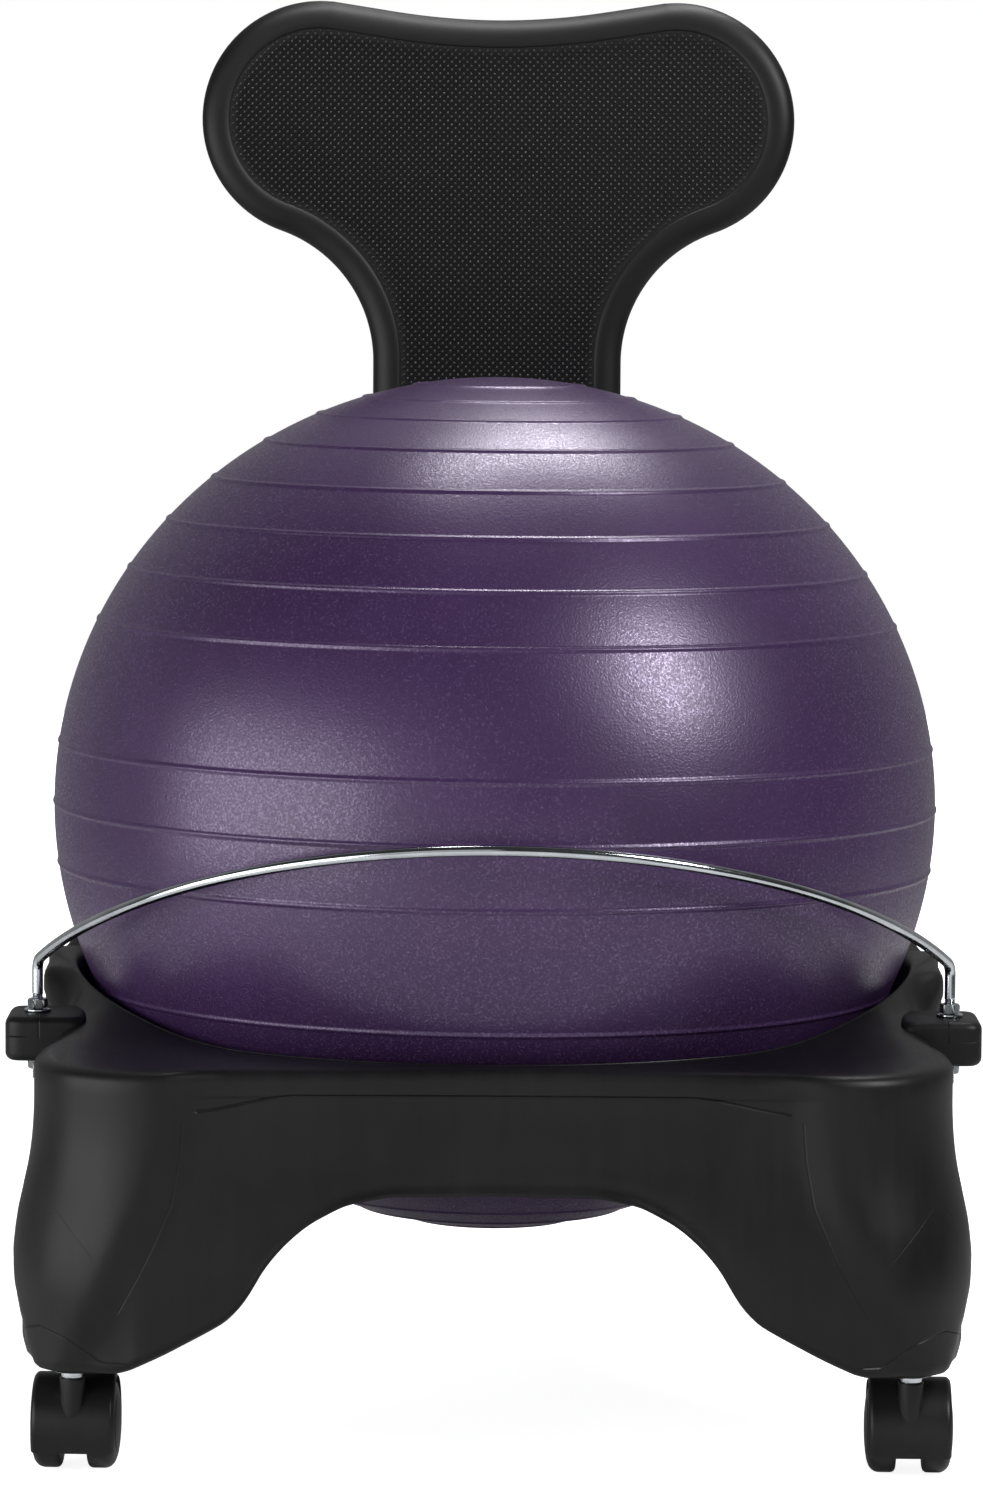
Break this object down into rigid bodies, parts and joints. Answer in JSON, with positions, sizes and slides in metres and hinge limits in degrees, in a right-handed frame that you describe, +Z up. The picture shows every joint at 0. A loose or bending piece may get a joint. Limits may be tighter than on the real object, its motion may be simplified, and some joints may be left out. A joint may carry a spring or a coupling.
{
  "type": "balance ball chair",
  "caption": "Inflated sitting ball held in a moulded base on swivelling twin-wheel casters, with a bent steel retaining bar and a bolted plastic backrest.",
  "frame": {"origin": "on the floor, under the middle of the chair's plan", "axes": "+Z up, -Y towards the front, where the sitter's legs go, and +Y towards the backrest; +X to the right in a view from the front"},
  "size_m": [0.548, 0.5716, 0.8099],
  "materials": {
    "base_plastic": "dark charcoal, satin, faint moulded grain",
    "back_plastic": "black, fine diagonal dots inside a smooth border",
    "ball_skin": "purple pearl vinyl, soft sheen, fine speckle",
    "plug_rubber": "pale, matte",
    "zinc_steel": "bright zinc",
    "black_steel": "black, satin",
    "brass": "plain",
    "caster_plastic": "black, satin"
  },
  "bodies": {
    "base": {"base_shell": "base_plastic", "retaining_bar": "zinc_steel", "bar_washer_upper_left": "zinc_steel", "bar_nut_upper_left": "zinc_steel", "bar_washer_lower_left": "zinc_steel", "bar_nut_lower_left": "zinc_steel", "bar_washer_upper_right": "zinc_steel", "bar_nut_upper_right": "zinc_steel", "bar_washer_lower_right": "zinc_steel", "bar_nut_lower_right": "zinc_steel", "backrest": "back_plastic", "threaded_insert_left": "brass", "threaded_insert_right": "brass", "back_bolt_washer_left": "black_steel", "back_bolt_washer_right": "black_steel", "back_bolt_left": "black_steel", "back_bolt_right": "black_steel", "caster_socket_front_left": "zinc_steel", "caster_socket_front_right": "zinc_steel", "caster_socket_rear_left": "zinc_steel", "caster_socket_rear_right": "zinc_steel"},
    "ball": {"ball": "ball_skin", "valve_plug": "plug_rubber"},
    "caster_front_left": {"caster_stem_front_left": "zinc_steel", "stem_grip_ring_front_left": "zinc_steel", "caster_hood_front_left": "caster_plastic", "caster_axle_front_left": "zinc_steel"},
    "caster_front_right": {"caster_stem_front_right": "zinc_steel", "stem_grip_ring_front_right": "zinc_steel", "caster_hood_front_right": "caster_plastic", "caster_axle_front_right": "zinc_steel"},
    "caster_rear_left": {"caster_stem_rear_left": "zinc_steel", "stem_grip_ring_rear_left": "zinc_steel", "caster_hood_rear_left": "caster_plastic", "caster_axle_rear_left": "zinc_steel"},
    "caster_rear_right": {"caster_stem_rear_right": "zinc_steel", "stem_grip_ring_rear_right": "zinc_steel", "caster_hood_rear_right": "caster_plastic", "caster_axle_rear_right": "zinc_steel"},
    "wheel_front_left_l": {"wheel_front_left_l": "caster_plastic"},
    "wheel_front_left_r": {"wheel_front_left_r": "caster_plastic"},
    "wheel_front_right_l": {"wheel_front_right_l": "caster_plastic"},
    "wheel_front_right_r": {"wheel_front_right_r": "caster_plastic"},
    "wheel_rear_left_l": {"wheel_rear_left_l": "caster_plastic"},
    "wheel_rear_left_r": {"wheel_rear_left_r": "caster_plastic"},
    "wheel_rear_right_l": {"wheel_rear_right_l": "caster_plastic"},
    "wheel_rear_right_r": {"wheel_rear_right_r": "caster_plastic"},
    "brake_rear_left": {"brake_lever_rear_left": "caster_plastic"},
    "brake_rear_right": {"brake_lever_rear_right": "caster_plastic"}
  },
  "joints": [
    {"name": "ball_lift", "type": "slide", "parent": "base", "child": "ball", "axis": [0, 0, 1], "range_m": [0, 0.3]},
    {"name": "swivel_front_left", "type": "hinge", "parent": "base", "child": "caster_front_left", "pos_m": [-0.229, -0.23877, 0.06], "axis": [0, 0, 1], "continuous": true},
    {"name": "swivel_front_right", "type": "hinge", "parent": "base", "child": "caster_front_right", "pos_m": [0.229, -0.23877, 0.06], "axis": [0, 0, 1], "continuous": true},
    {"name": "swivel_rear_left", "type": "hinge", "parent": "base", "child": "caster_rear_left", "pos_m": [-0.229, 0.21123, 0.06], "axis": [0, 0, 1], "continuous": true},
    {"name": "swivel_rear_right", "type": "hinge", "parent": "base", "child": "caster_rear_right", "pos_m": [0.229, 0.21123, 0.06], "axis": [0, 0, 1], "continuous": true},
    {"name": "spin_front_left_l", "type": "hinge", "parent": "caster_front_left", "child": "wheel_front_left_l", "pos_m": [-0.2283, -0.21878, 0.02469], "axis": [0.9994, -0.0349, 0], "continuous": true},
    {"name": "spin_front_left_r", "type": "hinge", "parent": "caster_front_left", "child": "wheel_front_left_r", "pos_m": [-0.2283, -0.21878, 0.02469], "axis": [0.9994, -0.0349, 0], "continuous": true},
    {"name": "spin_front_right_l", "type": "hinge", "parent": "caster_front_right", "child": "wheel_front_right_l", "pos_m": [0.22935, -0.21877, 0.02469], "axis": [0.9998, -0.0175, 0], "continuous": true},
    {"name": "spin_front_right_r", "type": "hinge", "parent": "caster_front_right", "child": "wheel_front_right_r", "pos_m": [0.22935, -0.21877, 0.02469], "axis": [0.9998, -0.0175, 0], "continuous": true},
    {"name": "spin_rear_left_l", "type": "hinge", "parent": "caster_rear_left", "child": "wheel_rear_left_l", "pos_m": [-0.23178, 0.23103, 0.02469], "axis": [0.9903, 0.1392, 0], "continuous": true},
    {"name": "spin_rear_left_r", "type": "hinge", "parent": "caster_rear_left", "child": "wheel_rear_left_r", "pos_m": [-0.23178, 0.23103, 0.02469], "axis": [0.9903, 0.1392, 0], "continuous": true},
    {"name": "spin_rear_right_l", "type": "hinge", "parent": "caster_rear_right", "child": "wheel_rear_right_l", "pos_m": [0.23109, 0.23112, 0.02469], "axis": [0.9945, -0.1045, 0], "continuous": true},
    {"name": "spin_rear_right_r", "type": "hinge", "parent": "caster_rear_right", "child": "wheel_rear_right_r", "pos_m": [0.23109, 0.23112, 0.02469], "axis": [0.9945, -0.1045, 0], "continuous": true},
    {"name": "brake_press_rear_left", "type": "hinge", "parent": "caster_rear_left", "child": "brake_rear_left", "pos_m": [-0.23475, 0.25211, 0.04832], "axis": [0.9903, 0.1392, 0], "range_deg": [-16, 0]},
    {"name": "brake_press_rear_right", "type": "hinge", "parent": "caster_rear_right", "child": "brake_rear_right", "pos_m": [0.23331, 0.25228, 0.04832], "axis": [0.9945, -0.1045, 0], "range_deg": [-16, 0]}
  ]
}
